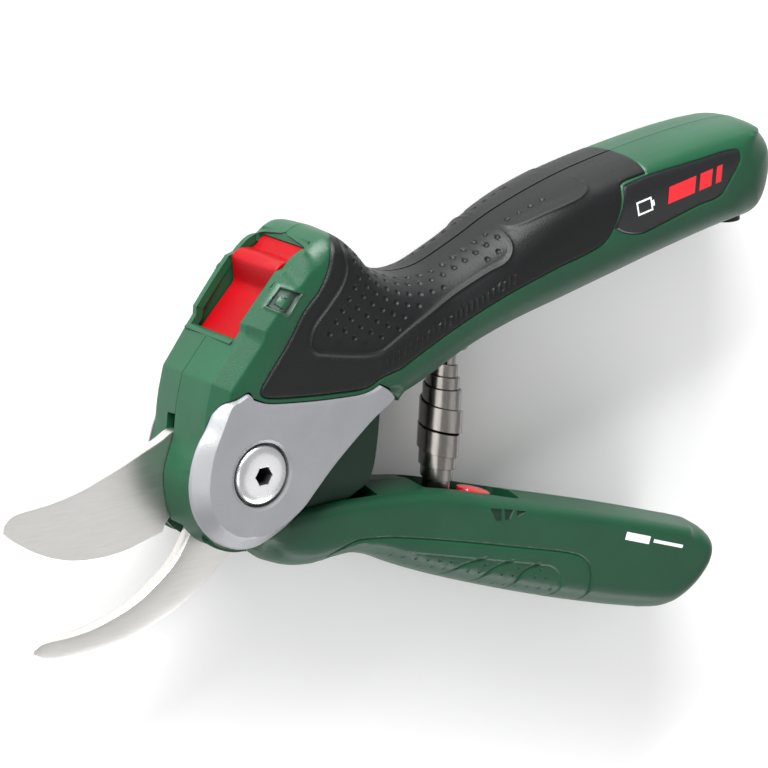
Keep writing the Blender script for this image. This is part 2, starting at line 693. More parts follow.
def body_base(points):
    """Half thickness of the upper body before its fine lines are added."""
    front, _ = nearest(points, joined(NOSE, FRONT))
    top, along = nearest(points, TOP)
    end, _ = nearest(points, END)
    bottom, _ = nearest(points, BOTTOM)
    wing, _ = nearest(points, WING)
    w = ease(along, 12.0, 34.0)
    far = ease(points[:, 0], 72.0, 104.0)
    side_of_top = (1 - far) * PROFILE_TOP(top) + far * PROFILE_FAR_TOP(top)
    z = softer_min(PROFILE_FRONT(front), (1 - w) * PROFILE_HUMP(top) + w * side_of_top, 0.8)
    z = softer_min(z, PROFILE_END(end), 0.8)
    z = softer_min(z, PROFILE_BOTTOM(bottom), 1.0)
    z = softer_min(z, PROFILE_WING(wing), 0.6)
    z = softer_min(z, half_width(points[:, 0]), 0.6)
    return np.maximum(z, 0)


def opening_height(points, side):
    """Height at which the wall starts above the mid-plane, for points of the outline."""
    x, y = points.T
    c, s = math.cos(SLIDE_ANGLE), math.sin(SLIDE_ANGLE)
    along = (x - SLIDE_ORIGIN[0]) * c + (y - SLIDE_ORIGIN[1]) * s
    out = -(x - SLIDE_ORIGIN[0]) * s + (y - SLIDE_ORIGIN[1]) * c
    start = np.full(len(points), SEAM)
    low_end = np.clip(WINDOW_CORNER - (along - WINDOW_START), 0, WINDOW_CORNER)
    rounded = WINDOW_HALF - WINDOW_CORNER + np.sqrt(WINDOW_CORNER ** 2 - low_end ** 2)
    taper = np.clip((WINDOW_PEAK - along) / (WINDOW_PEAK - WINDOW_END), 0.01, 1)
    rounded = np.minimum(rounded, WINDOW_HALF * taper)
    window = (along > WINDOW_START) & (along < WINDOW_PEAK) & (out > -6)
    start[window] = rounded[window]
    if side > 0:
        slot = (x < 3) & (y < -13.2)
    else:
        slot = (x < 36) & (y < 14.4)
    start[slot] = METAL_SLOT_HALF
    for centre, r in (SPRING_HOLE, PORT_HOLE):
        hole = (np.abs(x - centre) < r) & (y < centre * 0.26) & (x > 50)
        start[hole] = np.maximum(np.sqrt(r * r - (x[hole] - centre) ** 2), SEAM)
    return start


def trimmed(line, base, start):
    """The outline moved inwards to where the wall reaches the height it starts at."""
    inward = normals(line, True) * inner_side(line)
    low, high = np.zeros(len(line)), np.full(len(line), 6.0)
    for _ in range(24):
        mid = (low + high) / 2
        below = base(line + inward * mid[:, None]) < start
        low, high = np.where(below, mid, low), np.where(below, high, mid)
    return line + inward * high[:, None]


def raised(points, line, height, width, closed=False):
    """Height of a rounded ridge that follows the line."""
    gap, _ = nearest(points, line, closed)
    return height * np.exp(-(gap / width) ** 2)


def slope_at(points):
    """Rise of the body surface per millimetre along x and y."""
    h = 0.12
    dx, dy = np.array([h, 0]), np.array([0, h])
    gradient = [(body_base(points + d) - body_base(points - d)) / (2 * h) for d in (dx, dy)]
    return np.stack(gradient, 1)


def dimple_layout():
    """Centres of the grip dimples in rows below the top line, and the surface slope there."""
    over_surface = [(5.0, 0.45), (9.2, 1.8), (14.0, 4.6), (18.7, 8.6), (24.2, 14.0), (30.2, 20.0),
        (42.2, 32.0)]
    run, depth = np.array(over_surface).T
    anchor = np.array([53.0, 41.6])
    centres = []
    for row in range(11):
        d = np.interp(6.0 + 3.3 * row, run, depth)
        for piece in offset(TOP, -d, False):
            length = np.concatenate([[0], np.cumsum(np.hypot(*np.diff(piece, axis=0).T))])
            start = length[np.argmin(np.hypot(*(piece - anchor).T))] + 1.9 * (row % 2)
            stations = start + 3.8 * np.arange(-30, 30)
            stations = stations[(stations > 0) & (stations < length[-1])]
            centres.append(np.stack([np.interp(stations, length, piece[:, k]) for k in (0, 1)], 1))
    centres = np.vstack(centres)
    keep = np.zeros(len(centres), bool)
    patches = (
        (RIDGE_LINE, joined(RIDGE_LINE, [(60, 60), (40, 60)]), 1.9),
        (PATCH_LINE, joined(PATCH_LINE, [(104, 70), (78, 70)]), 0.8),
    )
    for line, patch, clear in patches:
        gap, _ = nearest(centres, line)
        keep |= inside(centres, patch) & (gap > clear)
    edge, _ = nearest(centres, BODY_LINE, True)
    centres = centres[keep & inside(centres, BODY_LINE) & (edge > 0.5)]
    slopes = slope_at(centres)
    gentle = np.hypot(*slopes.T) < 5
    return centres[gentle], slopes[gentle]


def grip_ribs():
    """Short slanted ribs along the lower edge of the grip."""
    line = dense([(39.5, 22.6), (59.8, 30.6), (80.6, 38.4)], 1.9)
    along = normals(line, False)
    tangent = np.stack([along[:, 1], -along[:, 0]], 1)
    slant = along * 0.9 + tangent * 0.45
    return [np.array([p - q * 0.9, p + q * 0.9]) for p, q in zip(line, slant)]


DIMPLE_R = 0.85
DIMPLE_DEPTH = 0.5
DIMPLES, DIMPLE_SLOPES = dimple_layout()
RIBS = grip_ribs()
GRIP_RISE = 0.22
BORDER_DEPTH, BORDER_WIDTH = 0.38, 0.28


def body_height(points):
    """Half thickness with the grooves, grip, ridges, ribs and icon frame."""
    z = body_base(points)
    in_seat = inside(points, PLATE_OUTER)
    seat_gap, _ = nearest(points, PLATE_OUTER, True)
    grip_gap, _ = nearest(points, GRIP_LINE, True)
    label_gap, _ = nearest(points, LABEL_LINE, True)
    in_grip = inside(points, GRIP_LINE)
    groove = BORDER_DEPTH * np.exp(-(np.minimum(grip_gap, label_gap) / BORDER_WIDTH) ** 2)
    z = z - np.where(z > 1, groove, 0)
    z = z + np.where(in_grip, GRIP_RISE * ease(grip_gap, 0.1, 0.8), 0)
    ridge = raised(points, RIDGE_LINE, 0.6, 0.4) + raised(points, PATCH_LINE, 0.55, 0.4)
    z = z + np.where(in_grip & (z > 3), ridge, 0)
    for rib in RIBS:
        z = z + raised(points, rib, 0.38, 0.3)
    in_icon = inside(points, ICON)
    icon_gap, _ = nearest(points, ICON, True)
    frame_line = 0.3 * np.exp(-((icon_gap + np.where(in_icon, 0.5, 0) - 0.3) / 0.3) ** 2)
    z = z + frame_line - np.where(in_icon, 0.6 * ease(icon_gap, 0, 0.25), 0)
    z = np.where(in_seat & (seat_gap > 0.03), np.minimum(z, BOSS_HEIGHT - 0.1), z)
    return z


def dimple_shift(points):
    """How far the dimples press each point of the surface inwards, along x, y and z."""
    shift = np.zeros((len(points), 3))
    for centre, slope in zip(DIMPLES, DIMPLE_SLOPES):
        near = np.abs(points - centre).max(1) < DIMPLE_R
        steep = float(np.hypot(*slope))
        up = slope / max(steep, 1e-6)
        stretch = math.sqrt(1 + steep ** 2)
        gap = points[near] - centre
        r = np.hypot(gap @ up * stretch, gap @ np.array([-up[1], up[0]]))
        push = DIMPLE_DEPTH * np.clip(1 - (r / DIMPLE_R) ** 2, 0, 1)
        shift[near] += push[:, None] * np.array([slope[0], slope[1], -1.0]) / stretch
    return shift


def dimple_points():
    """Mesh points on rings around each dimple, round on the sloping surface."""
    steep = np.maximum(np.hypot(*DIMPLE_SLOPES.T), 1e-6)
    up = DIMPLE_SLOPES / steep[:, None]
    across = np.stack([-up[:, 1], up[:, 0]], 1)
    up = up / np.sqrt(1 + steep ** 2)[:, None]
    rings = [DIMPLES]
    for r, count in ((0.4, 6), (0.68, 9), (DIMPLE_R, 12), (1.05, 12)):
        for a in np.linspace(0, 2 * np.pi, count, endpoint=False):
            rings.append(DIMPLES + r * (math.cos(a) * up + math.sin(a) * across))
    return np.vstack(rings)


# Distances from the outline at which the body's mesh has rows of points.
BODY_ROWS = (0.06, 0.16, 0.3, 0.45, 0.6, 0.75, 0.95, 1.15, 1.6, 2.3, 3.2, 4.2, 4.5, 4.8, 5.1,
             6.6, 8.4)


def side_share(points, side):
    """Share of its thickness that a half keeps: the right half is slimmer towards the nose."""
    if side > 0:
        return np.ones(len(points))
    return RIGHT_SHARE + (1 - RIGHT_SHARE) * ease(points[:, 0], -16.0, 8.0)


def padlock():
    """Plain padlock shape for the recess beside the slider: a body and a bow."""
    body = [(-1.9, -1.3), (0.3, -1.3), (0.3, 1.3), (-1.9, 1.3)]
    bow = np.vstack([arc(0.3, 0, 1.1, -90, 90, 0.3), arc(0.3, 0, 0.55, 90, -90, 0.3)])
    return [turned(shape, SLIDE_ANGLE, ICON.mean(0)) for shape in (body, bow)]


def label_marks():
    """Plain red bars and a white battery outline in place of the printed marks."""
    tilt = math.radians(11)
    run = np.array([math.cos(tilt), math.sin(tilt)])
    bars_at, cell_at = (132.4, 51.2), (124.6, 51.8)
    high, slant = 4.4, 1.4
    red = []
    for x0, x1 in ((0.0, 9.6), (11.2, 15.6), (17.2, 19.2)):
        wide = x1 - x0
        bar = [(0, 0), (wide, 0), (wide + slant, high), (slant, high)]
        red.append(turned(bar, tilt, bars_at + run * x0))
    outer = [(-2.9, -1.9), (2.4, -1.9), (2.4, -0.8), (3.1, -0.8), (3.1, 0.8), (2.4, 0.8),
        (2.4, 1.9), (-2.9, 1.9)]
    inner = [(-2.4, -1.4), (1.9, -1.4), (1.9, 1.4), (-2.4, 1.4)]
    return red, turned(outer, tilt, cell_at), turned(inner, tilt, cell_at)


def body_lines():
    """Lines that the body's mesh follows: rows along the outline, borders, ridges and ribs."""
    lines = []
    for d in BODY_ROWS:
        lines += offset(BODY_LINE, d, True)
    for border in (GRIP_LINE, LABEL_LINE):
        for d in (-0.5, -0.22, 0.22, 0.5, 0.85):
            lines += offset(border, d, True)
    for line in (RIDGE_LINE, PATCH_LINE):
        for d in (-0.8, -0.4, -0.2, 0.2, 0.4, 0.8):
            lines += offset(line, d, False)
        lines.append(line)
    for rib in RIBS:
        rib_line = straight(rib, 0.45)
        for d in (-0.5, 0.5):
            lines += offset(rib_line, d, False)
        lines.append(rib_line)
    return lines


def outline_points(shape, step):
    """The closed shape with extra points along its sides."""
    return straight(np.vstack([shape, shape[:1]]), step)[:-1]


def build_body():
    lines = body_lines()
    lock = padlock()
    red, cell, cell_inner = label_marks()
    interior = grid(BODY_LINE, 1.5)
    edge, _ = nearest(interior, BODY_LINE, True)
    interior = interior[(edge > 8.8) & ~inside(interior, PLATE_OUTER)]
    fixed_loops = [
        GRIP_LINE, LABEL_LINE, PLATE_OUTER, inset(PLATE_OUTER, 0.06), outline_points(ICON, 0.5),
        inset(ICON, 0.25), inset(ICON, -0.3), inset(ICON, -0.7), *lock, *red, cell, cell_inner,
    ]
    for side, name in SIDES:
        line = trimmed(BODY_LINE, body_base, opening_height(BODY_LINE, side))
        free = np.vstack([interior, dimple_points()])
        flat, triangles = triangulate(lines, [line, *fixed_loops], free)
        centres = flat[triangles].mean(1)
        keep = inside(centres, line) & (np.hypot(*centres.T) > PIVOT_HOLE_R)
        triangles, centres = triangles[keep], centres[keep]
        shift = dimple_shift(flat)
        heights = (body_height(flat) + shift[:, 2]) * side_share(flat, side)
        moved = flat + shift[:, :2]
        in_lock = np.zeros(len(flat), bool)
        for shape in lock:
            in_lock |= inside(flat, inset(shape, -0.02))
        heights = heights + np.where(in_lock, 0.3, 0)
        in_label = inside(centres, LABEL_LINE)
        in_grip = inside(centres, GRIP_LINE) & ~in_label
        rest = ~in_label & ~in_grip
        icon = inside(centres, ICON)
        for shape in lock:
            icon &= ~inside(centres, shape)
        marks = np.zeros(len(centres), np.int32)
        for shape in red:
            marks[inside(centres, shape)] = 1
        marks[inside(centres, cell) & ~inside(centres, cell_inner)] = 2
        shell = skin(f"body_shell_{name}", moved, heights, triangles[rest], side,
                     [GREEN, DARK], SHELL_WALL, np.where(icon[rest], 1, 0))
        grip = skin(f"soft_grip_{name}", moved, heights, triangles[in_grip], side,
                    [BLACK], GRIP_WALL)
        label = skin(f"label_panel_{name}", moved, heights, triangles[in_label], side,
                     [PANEL, MARK_RED, MARK_WHITE], LABEL_WALL, marks[in_label])
        for piece, node, slot in ((shell, "housing", "green_plastic"), (grip, "grip", "soft_black"),
                                  (label, "label", "label_panel")):
            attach(piece, "housing")
            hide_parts(f"{node}_{name}")


build_body()

# ---------- cover plates ----------

PLATE_FACE = 17.0
PLATE_EDGE = 13.7
PLATE_BACK = 12.9
BOLT_SEAT_R = 8.4
BOLT_SEAT_Z = 13.9


def plate_height(points):
    """Outer face of a cover plate: bevelled edge, soft crease and the sunk bolt seat."""
    outer, _ = nearest(points, PLATE_OUTER, True)
    inner, _ = nearest(points, PLATE_INNER, True)
    flat_part = inside(points, PLATE_INNER)
    share = np.where(flat_part, 1.0, outer / np.maximum(outer + inner, 1e-6))
    z = PLATE_EDGE + (PLATE_FACE - PLATE_EDGE) * share
    signed = np.where(flat_part, inner, -inner)
    z = z - 0.05 * np.exp(-(signed / 0.25) ** 2)
    z = z - 0.3 * np.exp(-(outer / 0.18) ** 2)
    r = np.hypot(*points.T)
    z = z - np.where(r < BOLT_SEAT_R + 1.0, 0.5 * ease(BOLT_SEAT_R + 1.0 - r, 0, 1.0), 0)
    upper = ease(-(points @ np.array([0.75, -0.66]) - 6.0), -1.2, 1.2)
    z = z - np.where(r > BOLT_SEAT_R, 0.14 * upper * ease(r, BOLT_SEAT_R, 12), 0)
    return np.where(r < BOLT_SEAT_R - 0.01, BOLT_SEAT_Z, z)


def build_plates():
    lines = []
    for d in (0.08, 0.2, 0.4, 0.7, 1.1):
        lines += offset(PLATE_OUTER, d * inner_side(PLATE_OUTER), True)
    for d in (-1.6, -1.1, -0.7, -0.35, 0.35, 0.7, 1.1, 1.6):
        lines += offset(PLATE_INNER, d, True)
    loops = [PLATE_OUTER, PLATE_INNER]
    circles = (PIVOT_HOLE_R, 8.38, BOLT_SEAT_R, 8.6, 8.9, 9.2, 9.4, 9.8)
    loops += [arc(0, 0, r, 0, 360, 0.6)[:-1] for r in circles]
    interior = grid(PLATE_OUTER, 1.1)
    flat, triangles = triangulate(lines, loops, interior)
    centres = flat[triangles].mean(1)
    triangles = triangles[inside(centres, PLATE_OUTER) & (np.hypot(*centres.T) > PIVOT_HOLE_R)]
    used, faces = used_only(flat, triangles)
    flat = flat[used]
    top = np.column_stack([flat, plate_height(flat)])
    under = np.column_stack([flat, np.full(len(flat), PLATE_BACK)])
    n = len(flat)
    ends = {}
    for f in faces:
        for a, b in ((f[0], f[1]), (f[1], f[2]), (f[2], f[0])):
            ends[(a, b)] = ends.get((a, b), 0) + 1
    rim = [(a, b) for a, b in ends if (b, a) not in ends]
    walls = [(b, a, a + n, b + n) for a, b in rim]
    for side, name in SIDES:
        vertices = np.vstack([top, under]) * [1, 1, side]
        vertices[:, 2] *= side_share(vertices, side)
        all_faces = [tuple(f) for f in faces] + [tuple(f[::-1] + n) for f in faces] + walls
        if side < 0:
            x = vertices[:, 0]
            vertices[:, 0] = np.where(x < -6, -6 + (x + 6) * RIGHT_SHARE, x)
            all_faces = [f[::-1] for f in all_faces]
        plate = make_object(f"cover_plate_{name}_cast", vertices, all_faces, [CAST], sharp=28)
        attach(plate, "housing")
        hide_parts(f"cover_plate_{name}")


build_plates()

# ---------- blades ----------

BLADE_NEAR = -0.2
BLADE_FAR = -3.6
HOOK_NEAR = 4.2
HOOK_FAR = 0.2
EYE_R = 12.5


def build_cutting_blade():
    """Cutting blade and its tang: a flat inner face and an edge ground on the outer side."""
    back = dense([(-11.0, 9.6), (-15.2, 10.1), (-19.1, 8.2), (-25.1, 5.8), (-31.1, 3.3),
        (-37.1, 1.2), (-43, -0.7), (-51.7, -2.4), (-60.4, -3.1), (-63.3, -3.8), (-65.1, -5.6),
        (-65.4, -7.4)], 0.8)
    edge = dense([(-65.4, -7.4), (-63.4, -9.6), (-60.6, -11.7), (-56.3, -14.4), (-52, -16.5),
        (-46.2, -18.4), (-40.3, -19.2), (-34.4, -19.3), (-28.4, -18.6), (-22.4, -16.9),
        (-18.7, -15.9)], 0.8)
    heel = dense([(-18.7, -15.9), (-18.3, -15.2), (-17.6, -13.6), (-12.4, -9.2)], 0.5)
    tang = straight([(10.0, -13.0), (17.0, -21.2), (28.0, -25.6), (39.0, -27.4), (47.0, -30.4),
        (73.6, -38.6), (75.8, -35.6), (74.0, -32.6), (57.0, -26.9), (46.0, -22.8), (32.0, -18.2),
        (22.0, -12.8), (12.0, -3.6)], 2.0)
    lug = arc(9.0, 10.72, 4.2, -30, 130)
    outline = joined(back, edge, heel, arc(0, 0, EYE_R, 222, 292), tang, arc(0, 0, EYE_R, -8, 18),
                     lug, arc(0, 0, EYE_R, 92, 136))[::-1]
    outline = anticlockwise(outline)
    gap, along = nearest(outline, edge)
    total = np.sum(np.hypot(*np.diff(edge, axis=0).T))
    share = ease(along, 0, 4.0) * ease(total - along, 0, 4.0) * (gap < 0.05)
    inward = normals(outline, True)
    vertices, faces = ring_mesh([
        (outline + inward * (0.3 + 3.6 * share)[:, None], BLADE_FAR),
        (outline + inward * (0.1 * (1 - share))[:, None], BLADE_FAR + 0.35),
        (outline, BLADE_NEAR - 0.5),
        (outline + inward * 0.08, BLADE_NEAR - 0.1),
        (outline + inward * 0.28, BLADE_NEAR),
    ])
    blade = make_object("bypass_blade", vertices, faces, [BLADE], sharp=25)
    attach(blade, "lever")
    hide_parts("cutting_blade")


def build_hook():
    """Counter blade: the hook, its eye around the pivot and the arm held in the housing."""
    inner = dense([(-59.9, -37.6), (-57.7, -36.5), (-49.5, -36.3), (-43.6, -35.7), (-37.7, -34.3),
        (-31.7, -32.3), (-27.2, -30.1), (-22.6, -27), (-19.6, -24.7), (-17.2, -22.3),
        (-15.3, -19.7), (-12.0, -14.0)], 0.8)
    arm = straight([(12.2, -3.8), (14.0, -2.6), (24.0, 3.4), (32.4, 8.2), (33.0, 11.0),
        (30.0, 12.4), (20.0, 12.2), (6.0, 11.2)], 1.5)
    outer = dense([(2.2, -17.4), (0.3, -22.0), (-2.8, -25.1), (-7.4, -29), (-13.6, -33.1),
        (-19.7, -36.1), (-25.8, -38.3), (-33.3, -40.5), (-40.7, -41.3), (-49.6, -41.5),
        (-54, -41.1), (-58.0, -40.0), (-59.9, -38.6)], 0.8)
    outline = anticlockwise(joined(
        outer, inner, arc(0, 0, EYE_R, 225, 70), arm[::-1], arc(0, 0, EYE_R, -14, -78)))
    vertices, faces = ring_mesh(plate_rings(outline, HOOK_FAR, HOOK_NEAR, 0.35))
    hook = make_object("hook_blade", vertices, faces, [BLADE], sharp=25)
    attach(hook, "housing")
    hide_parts("counter_blade")


build_cutting_blade()
build_hook()

# ---------- pivot ----------


def build_pivot():
    """Domed bolt head with a hexagon socket, and the bolt's shank."""
    n = TURNED_SEGMENTS
    profile = [(0, 14.2), (4.0, 14.2), (7.5, 14.2), (7.75, 14.4), (7.8, 14.9), (7.78, 15.9),
        (7.6, 16.45), (7.2, 16.85), (6.6, 17.12), (5.4, 17.35), (4.0, 17.5), (2.75, 17.56)]
    vertices, faces = lathe(profile, 0, 0)
    socket_start = len(faces) + n
    for r, z in ((2.5, 17.5), (2.35, 17.3), (2.3, 13.6)):
        base = len(vertices)
        for i in range(n):
            a = 2 * math.pi * i / n
            local = (a % (math.pi / 3)) - math.pi / 6
            hexagon = r * math.cos(math.pi / 6) / math.cos(local) * 1.04
            vertices.append((hexagon * math.cos(a), hexagon * math.sin(a), z))
        for i in range(n):
            j = (i + 1) % n
            faces.append((base - n + i, base - n + j, base + j, base + i))
    faces.append(tuple(base + i for i in range(n)))
    finish = [1 if i >= socket_start else 0 for i in range(len(faces))]
    bolt = make_object("pivot_screw", vertices, faces, [BOLT, SOCKET], finish, sharp=40)
    shank_profile = [(0, -16.3), (3.6, -16.3), (4.0, -15.9), (4.0, 14.2), (0, 14.2)]
    shank, shank_faces = lathe(shank_profile, 0, 0, 48)
    stem = make_object("pivot_shank", shank, shank_faces, [BOLT], sharp=40)
    for piece in (bolt, stem):
        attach(piece, "housing")
    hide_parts("pivot_bolt")


build_pivot()

# ---------- lock slider ----------


SLIDER_HALF = 9.6
SLIDER_EDGE = 0.6


def build_slider():
    """Thumb slide: a flat front, a raised stop for the thumb and rounded side edges."""
    surface = joined(
        dense([(11.0, -3.3), (24.0, -3.6), (27.4, -3.7), (28.6, -3.4), (29.6, -2.5)], 0.35),
        straight([(29.6, -2.5), (32.2, 0.5)], 0.4),
        dense([(32.2, 0.5), (32.8, 1.0), (33.5, 1.15), (34.5, 1.0), (35.8, 0.3), (36.8, -0.9),
            (37.7, -2.3)], 0.2),
        dense([(37.7, -2.3), (38.5, -2.9), (40.0, -3.1), (42.3, -3.3)], 0.3),
    )
    half = [2.0, 4.0, 6.0, 7.5, 8.6, 9.2, 9.5, SLIDER_HALF]
    widths = [-z for z in reversed(half)] + [0] + half
    vertices, faces = [], []
    count = len(surface) + 2
    for z in widths:
        edge = max(0.0, abs(z) - 9.0)
        drop = SLIDER_EDGE - math.sqrt(max(0.0, 0.36 - edge * edge))
        dip = 0.7 * (1 - (z / SLIDER_HALF) ** 2)
        crest = np.exp(-((surface[:, 0] - 34.4) / 2.2) ** 2)
        top = surface - np.column_stack([np.zeros(len(surface)), drop + dip * crest])
        section = np.vstack([top, [(42.3, -5.0), (11.0, -5.0)]])
        for p in slide(section):
            vertices.append((p[0], p[1], z))
    for k in range(len(widths) - 1):
        for i in range(count):
            a, b = k * count + i, k * count + (i + 1) % count
            faces.append((a, a + count, b + count, b))
    faces.append(tuple(range(count)))
    last = (len(widths) - 1) * count
    faces.append(tuple(last + i for i in range(count))[::-1])
    slider = make_object("lock_thumb_slide", vertices, faces, [RED], sharp=35)
    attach(slider, "lock")
    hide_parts("lock_slider")


build_slider()


def prism(name, section, z0, z1, material):
    """Bar of the given section in the slide's own lines, from z0 to z1."""
    outline = anticlockwise(slide(section))
    vertices, faces = ring_mesh([(outline, z0), (outline, z1)])
    return make_object(name, vertices, faces, [material], sharp=30)


def build_slide_well():
    """Guide walls beside the slider, the rounded lip below it and the stop above it."""
    lip = [(11.0, 0.49), (11.6, 0.4), (12.2, 0.15), (12.8, -0.35), (13.2, -1.0), (13.35, -1.7),
        (13.4, -2.6), (11.0, -2.6)]
    guide = [(11.0, -1.4), (15.0, -1.4), (16.8, -0.4), (32.4, -0.4), (34.8, -1.4), (38.8, -2.2),
        (42.4, -3.8), (42.4, -7.5), (11.0, -7.5)]
    stop = [(42.4, -2.9), (44.2, -2.1), (44.6, -4.4), (43.0, -6.5), (42.4, -6.5)]
    near, far = 9.95, 11.3
    pieces = [
        prism("slide_lip", lip, -near, near, GREEN),
        prism("slide_guide_left", guide, near, far, GREEN),
        prism("slide_guide_right", guide, -far, -near, GREEN),
        prism("slide_stop", stop, -near, near, GREEN),
    ]
    for piece in pieces:
        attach(piece, "housing")


build_slide_well()

# ---------- lower handle ----------

HANDLE_TOP = dense([(12.4, -13.6), (16.0, -13.2), (22.0, -13.2), (29.0, -13.0), (37.0, -13.4),
    (46.3, -14.0), (56.1, -15.3), (62.7, -16.5), (72.8, -19.2), (89.8, -24.4), (110.8, -30.5),
    (125.1, -34.8), (139.6, -39.4), (152.0, -43.5)], 0.6)
HANDLE_END = dense([(152.0, -43.5), (155.9, -45.2), (159.0, -48.0), (160.2, -51.6), (159.0, -56.4),
    (153.8, -62.2), (146.2, -66.1), (140.4, -66.8), (133.6, -65.7)], 0.6)
HANDLE_BOTTOM = dense([(133.6, -65.7), (119.0, -61.7), (91.0, -52.7), (62.0, -42.0), (52.0, -37.6),
    (42.4, -33.0), (35.2, -30.8), (28.6, -30.5), (21.0, -31.1), (14.0, -29.9), (9.6, -27.8),
    (5.6, -24.0)], 0.6)
HANDLE_ROOT = joined([(5.6, -24.0)], dense([(5.0, -22.6), (3.6, -19.4), (3.3, -18.2)], 0.6),
                     arc(0, 0, 18.5, -80, -45),
                     [(12.4, -13.6)])
HANDLE_LINE = joined(HANDLE_TOP, HANDLE_END, HANDLE_BOTTOM, HANDLE_ROOT)[::-1]
INLAY_OUTER = dense([(24.7, -27.9), (28.5, -26.2), (33.3, -25), (39, -25.4), (46.3, -26.6),
    (64.4, -31), (88.2, -37.5), (104.0, -42.0), (109.0, -44.2), (111.6, -47.0), (112.4, -51.0),
    (111.6, -54.4), (109.5, -58.5)], 0.6)
INLAY_INNER = dense([(30.2, -28.6), (38.2, -28.3), (48, -30.5), (71.2, -36.7), (94.0, -43.0),
    (98.7, -44.6), (101.4, -47.6), (101.8, -51.4), (100.4, -54.4)], 0.6)
INLAY_GROOVES = [
    dense([(75.6, -37.9), (71.0, -38.2), (66.6, -39.0), (63.0, -40.6)], 0.5),
    dense([(84.8, -40.4), (80.0, -41.0), (76.4, -42.4), (73.0, -45.0)], 0.5),
    dense([(94.0, -43.2), (90.0, -44.0), (87.4, -45.6), (84.8, -49.0)], 0.5),
]
CHEVRONS = [
    np.array([(76.9, -24.2), (80.9, -25.2), (80.9, -28.6), (78.9, -28.2)]),
    np.array([(81.7, -25.4), (85.1, -26.3), (83.7, -28.8), (81.9, -28.5)]),
    np.array([(85.9, -26.5), (89.6, -27.6), (86.0, -28.7)]),
]
LEVER_BARS = [
    np.array([(124.6, -39.9), (133.2, -42.9), (132.5, -45.0), (123.9, -42.0)]),
    np.array([(134.4, -43.9), (145.0, -47.6), (144.7, -48.5), (134.1, -44.8)]),
]
INLAY_FIELD = joined(INLAY_INNER, [(95, -60), (60, -48), (26, -34)])
PIT_GRID = np.array([
    (34 + 3.8 * i + 1.9 * (j % 2), -28.6 - 0.27 * (3.8 * i) - 2.7 * j)
    for i in range(18) for j in range(6)
])
PIT_R = 0.55
HANDLE_PROFILE_TOP = smooth_table([(0, 0), (1.35, 9.6), (1.6, 10.3), (3.8, 12.2), (6, 12.4)])
HANDLE_PROFILE_LOW = smooth_table([(0, 0), (0.7, 6), (2.4, 10), (5, 12), (8, 12.4)])
HANDLE_PROFILE_ROOT = smooth_table([(0, 0), (0.05, 11), (0.7, 12), (2.0, 12.4)])
# The spring's recess in the top face: its ends along x, half width and corner radius.
RECESS = (58.6, 92.2, 6.8)
RECESS_CORNER = 2.4
SHROUD_SLOT_HALF = 8.9


def handle_base(points):
    """Half thickness of the lower handle before its fine lines are added."""
    top, _ = nearest(points, HANDLE_TOP)
    low, _ = nearest(points, joined(HANDLE_END, HANDLE_BOTTOM))
    root, _ = nearest(points, HANDLE_ROOT)
    z = softer_min(HANDLE_PROFILE_TOP(top), HANDLE_PROFILE_LOW(low), 0.6)
    z = softer_min(z, HANDLE_PROFILE_ROOT(root), 0.4)
    return np.maximum(z, 0)


def handle_opening(points):
    """Height at which the handle's wall starts, for points of its outline."""
    x, y = points.T
    start = np.full(len(points), SEAM)
    on_top, _ = nearest(points, HANDLE_TOP)
    top = on_top < 0.05
    start[top & (x > 12) & (x < 42.6)] = SHROUD_SLOT_HALF
    near_end = np.minimum(x - RECESS[0], RECESS[1] - x)
    tray = top & (near_end > 0)
    rounding = RECESS_CORNER ** 2 - np.clip(RECESS_CORNER - near_end, 0, RECESS_CORNER) ** 2
    bend = RECESS[2] - RECESS_CORNER + np.sqrt(np.clip(rounding, 0, None))
    start[tray] = bend[tray]
    root = ~top & (x < 14) & (y > -24)
    start[root] = METAL_SLOT_HALF
    return start


def pit_centres():
    """Small pits of the inlay, clear of its grooves and edges."""
    keep = inside(PIT_GRID, INLAY_FIELD)
    for line in (INLAY_INNER, HANDLE_BOTTOM, *INLAY_GROOVES):
        gap, _ = nearest(PIT_GRID, line)
        keep &= gap > 1.5
    return PIT_GRID[keep & inside(PIT_GRID, HANDLE_LINE)]


PITS = pit_centres()


def pit_points():
    """Mesh points at the middle and on two rings of each pit."""
    turn = np.linspace(0, 2 * np.pi, 8, endpoint=False)
    ring = np.stack([np.cos(turn), np.sin(turn)], 1)
    rings = [(PITS[:, None] + ring[None] * r).reshape(-1, 2) for r in (0.28, PIT_R)]
    return np.vstack([PITS, *rings])


def handle_height(points):
    """Half thickness of the lower handle with its inlay, grooves, pits and marks."""
    z = handle_base(points)
    outer, _ = nearest(points, INLAY_OUTER)
    inner, _ = nearest(points, INLAY_INNER)
    band = joined(INLAY_OUTER, [(104, -62), (60, -48), (22, -36)])
    in_band = inside(points, band)
    fade = ease(z, 3.0, 7.0)
    z = z - 0.4 * fade * np.exp(-(outer / 0.3) ** 2)
    z = z + np.where(in_band, 0.22 * ease(outer, 0.2, 1.2), 0) * (z < 12.4)
    in_field = inside(points, INLAY_FIELD)
    z = z - np.where(in_field, 0.35 * fade * ease(inner, 0, 0.5), 0)
    for groove in INLAY_GROOVES:
        gap, _ = nearest(points, groove)
        z = z - 0.4 * fade * np.exp(-(gap / 0.4) ** 2)
    for pit in PITS:
        z = z - 0.3 * np.clip(1 - (np.hypot(*(points - pit).T) / PIT_R) ** 2, 0, 1)
    for shape in CHEVRONS:
        gap, _ = nearest(points, shape, True)
        z = z - np.where(inside(points, shape), 0.45 * ease(gap, 0, 0.3), 0)
    return z


